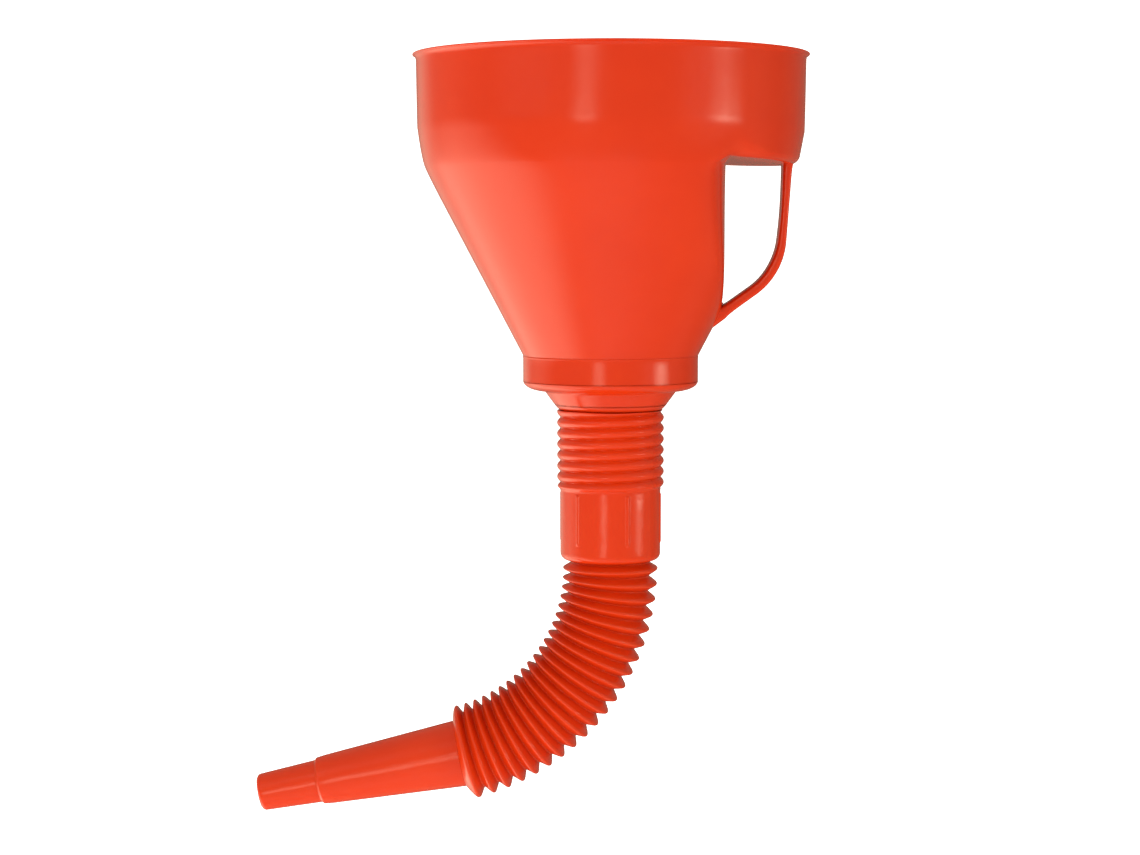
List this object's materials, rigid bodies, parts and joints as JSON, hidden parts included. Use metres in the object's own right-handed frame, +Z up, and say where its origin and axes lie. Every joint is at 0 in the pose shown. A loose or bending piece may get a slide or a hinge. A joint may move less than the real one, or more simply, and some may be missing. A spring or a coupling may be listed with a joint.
{
  "type": "funnel",
  "caption": "Pouring funnel with a hand grip, a lift-out gauze strainer and a flexible bellows spout with a stepped nozzle.",
  "frame": {"origin": "centre of the collar under the bowl, on the bowl's axis", "axes": "+Z up along the bowl's axis out of the mouth, +X towards the hand grip, the spout bends in the XZ plane towards -X"},
  "size_m": [0.2255, 0.16, 0.309],
  "materials": {
    "bowl_plastic": "glossy moulded polyethylene",
    "strainer_plastic": "glossy moulded polyethylene",
    "spout_plastic": "glossy moulded polyethylene",
    "gauze": "woven wire"
  },
  "bodies": {
    "funnel_bowl": {"bowl": "bowl_plastic"},
    "strainer": {"strainer_frame": "strainer_plastic", "strainer_mesh": "gauze"},
    "spout": {"spout_cuff": "spout_plastic", "bellows_ring_01": "spout_plastic"},
    "fold_02": {"bellows_ring_02": "spout_plastic"},
    "fold_03": {"bellows_ring_03": "spout_plastic"},
    "fold_04": {"bellows_ring_04": "spout_plastic"},
    "fold_05": {"bellows_ring_05": "spout_plastic"},
    "fold_06": {"bellows_ring_06": "spout_plastic"},
    "fold_07": {"bellows_ring_07": "spout_plastic"},
    "fold_08": {"bellows_ring_08": "spout_plastic"},
    "fold_09": {"bellows_ring_09": "spout_plastic"},
    "fold_10": {"bellows_ring_10": "spout_plastic"},
    "fold_11": {"bellows_ring_11": "spout_plastic"},
    "fold_12": {"bellows_ring_12": "spout_plastic"},
    "fold_13": {"bellows_ring_13": "spout_plastic"},
    "fold_14": {"bellows_ring_14": "spout_plastic"},
    "fold_15": {"bellows_ring_15": "spout_plastic"},
    "fold_16": {"bellows_ring_16": "spout_plastic"},
    "fold_17": {"bellows_ring_17": "spout_plastic"},
    "fold_18": {"bellows_ring_18": "spout_plastic"},
    "fold_19": {"bellows_ring_19": "spout_plastic"},
    "fold_20": {"bellows_ring_20": "spout_plastic"},
    "fold_21": {"bellows_ring_21": "spout_plastic"},
    "nozzle": {"nozzle": "spout_plastic"}
  },
  "joints": [
    {"name": "strainer_lift", "type": "slide", "parent": "funnel_bowl", "child": "strainer", "axis": [0, 0, 1], "range_m": [0, 0.14]},
    {"name": "spout_turn", "type": "hinge", "parent": "funnel_bowl", "child": "spout", "pos_m": [0, 0, -0.0321], "axis": [0, 0, 1], "range_deg": [-180, 180]},
    {"name": "spout_bend", "type": "hinge", "parent": "spout", "child": "fold_02", "pos_m": [0, 0, -0.08226], "axis": [0, 1, 0], "range_deg": [-3.75, 1.2]},
    {"name": "fold_bend_03", "type": "hinge", "parent": "fold_02", "child": "fold_03", "pos_m": [-0.00034, 0, -0.08741], "axis": [0, 1, 0], "range_deg": [-3.75, 1.2]},
    {"name": "fold_bend_04", "type": "hinge", "parent": "fold_03", "child": "fold_04", "pos_m": [-0.00101, 0, -0.09252], "axis": [0, 1, 0], "range_deg": [-3.75, 1.2]},
    {"name": "fold_bend_05", "type": "hinge", "parent": "fold_04", "child": "fold_05", "pos_m": [-0.00202, 0, -0.09759], "axis": [0, 1, 0], "range_deg": [-3.75, 1.2]},
    {"name": "fold_bend_06", "type": "hinge", "parent": "fold_05", "child": "fold_06", "pos_m": [-0.00335, 0, -0.10257], "axis": [0, 1, 0], "range_deg": [-3.75, 1.2]},
    {"name": "fold_bend_07", "type": "hinge", "parent": "fold_06", "child": "fold_07", "pos_m": [-0.00501, 0, -0.10746], "axis": [0, 1, 0], "range_deg": [-3.75, 1.2]},
    {"name": "fold_bend_08", "type": "hinge", "parent": "fold_07", "child": "fold_08", "pos_m": [-0.00699, 0, -0.11222], "axis": [0, 1, 0], "range_deg": [-3.75, 1.2]},
    {"name": "fold_bend_09", "type": "hinge", "parent": "fold_08", "child": "fold_09", "pos_m": [-0.00927, 0, -0.11685], "axis": [0, 1, 0], "range_deg": [-3.75, 1.2]},
    {"name": "fold_bend_10", "type": "hinge", "parent": "fold_09", "child": "fold_10", "pos_m": [-0.01185, 0, -0.12132], "axis": [0, 1, 0], "range_deg": [-3.75, 1.2]},
    {"name": "fold_bend_11", "type": "hinge", "parent": "fold_10", "child": "fold_11", "pos_m": [-0.01472, 0, -0.12561], "axis": [0, 1, 0], "range_deg": [-3.75, 1.2]},
    {"name": "fold_bend_12", "type": "hinge", "parent": "fold_11", "child": "fold_12", "pos_m": [-0.01786, 0, -0.1297], "axis": [0, 1, 0], "range_deg": [-3.75, 1.2]},
    {"name": "fold_bend_13", "type": "hinge", "parent": "fold_12", "child": "fold_13", "pos_m": [-0.02126, 0, -0.13358], "axis": [0, 1, 0], "range_deg": [-3.75, 1.2]},
    {"name": "fold_bend_14", "type": "hinge", "parent": "fold_13", "child": "fold_14", "pos_m": [-0.02491, 0, -0.13723], "axis": [0, 1, 0], "range_deg": [-3.75, 1.2]},
    {"name": "fold_bend_15", "type": "hinge", "parent": "fold_14", "child": "fold_15", "pos_m": [-0.02879, 0, -0.14063], "axis": [0, 1, 0], "range_deg": [-3.75, 1.2]},
    {"name": "fold_bend_16", "type": "hinge", "parent": "fold_15", "child": "fold_16", "pos_m": [-0.03288, 0, -0.14377], "axis": [0, 1, 0], "range_deg": [-3.75, 1.2]},
    {"name": "fold_bend_17", "type": "hinge", "parent": "fold_16", "child": "fold_17", "pos_m": [-0.03717, 0, -0.14664], "axis": [0, 1, 0], "range_deg": [-3.75, 1.2]},
    {"name": "fold_bend_18", "type": "hinge", "parent": "fold_17", "child": "fold_18", "pos_m": [-0.04164, 0, -0.14922], "axis": [0, 1, 0], "range_deg": [-3.75, 1.2]},
    {"name": "fold_bend_19", "type": "hinge", "parent": "fold_18", "child": "fold_19", "pos_m": [-0.04627, 0, -0.1515], "axis": [0, 1, 0], "range_deg": [-3.75, 1.2]},
    {"name": "fold_bend_20", "type": "hinge", "parent": "fold_19", "child": "fold_20", "pos_m": [-0.05103, 0, -0.15348], "axis": [0, 1, 0], "range_deg": [-3.75, 1.2]},
    {"name": "fold_bend_21", "type": "hinge", "parent": "fold_20", "child": "fold_21", "pos_m": [-0.05592, 0, -0.15514], "axis": [0, 1, 0], "range_deg": [-3.75, 1.2]},
    {"name": "nozzle_bend", "type": "hinge", "parent": "fold_21", "child": "nozzle", "pos_m": [-0.06091, 0, -0.15647], "axis": [0, 1, 0], "range_deg": [-3.75, 1.2]}
  ],
  "couplings": [
    {"joint": "fold_bend_03", "follows": "spout_bend", "ratio": 1},
    {"joint": "fold_bend_04", "follows": "spout_bend", "ratio": 1},
    {"joint": "fold_bend_05", "follows": "spout_bend", "ratio": 1},
    {"joint": "fold_bend_06", "follows": "spout_bend", "ratio": 1},
    {"joint": "fold_bend_07", "follows": "spout_bend", "ratio": 1},
    {"joint": "fold_bend_08", "follows": "spout_bend", "ratio": 1},
    {"joint": "fold_bend_09", "follows": "spout_bend", "ratio": 1},
    {"joint": "fold_bend_10", "follows": "spout_bend", "ratio": 1},
    {"joint": "fold_bend_11", "follows": "spout_bend", "ratio": 1},
    {"joint": "fold_bend_12", "follows": "spout_bend", "ratio": 1},
    {"joint": "fold_bend_13", "follows": "spout_bend", "ratio": 1},
    {"joint": "fold_bend_14", "follows": "spout_bend", "ratio": 1},
    {"joint": "fold_bend_15", "follows": "spout_bend", "ratio": 1},
    {"joint": "fold_bend_16", "follows": "spout_bend", "ratio": 1},
    {"joint": "fold_bend_17", "follows": "spout_bend", "ratio": 1},
    {"joint": "fold_bend_18", "follows": "spout_bend", "ratio": 1},
    {"joint": "fold_bend_19", "follows": "spout_bend", "ratio": 1},
    {"joint": "fold_bend_20", "follows": "spout_bend", "ratio": 1},
    {"joint": "fold_bend_21", "follows": "spout_bend", "ratio": 1},
    {"joint": "nozzle_bend", "follows": "spout_bend", "ratio": 1}
  ]
}
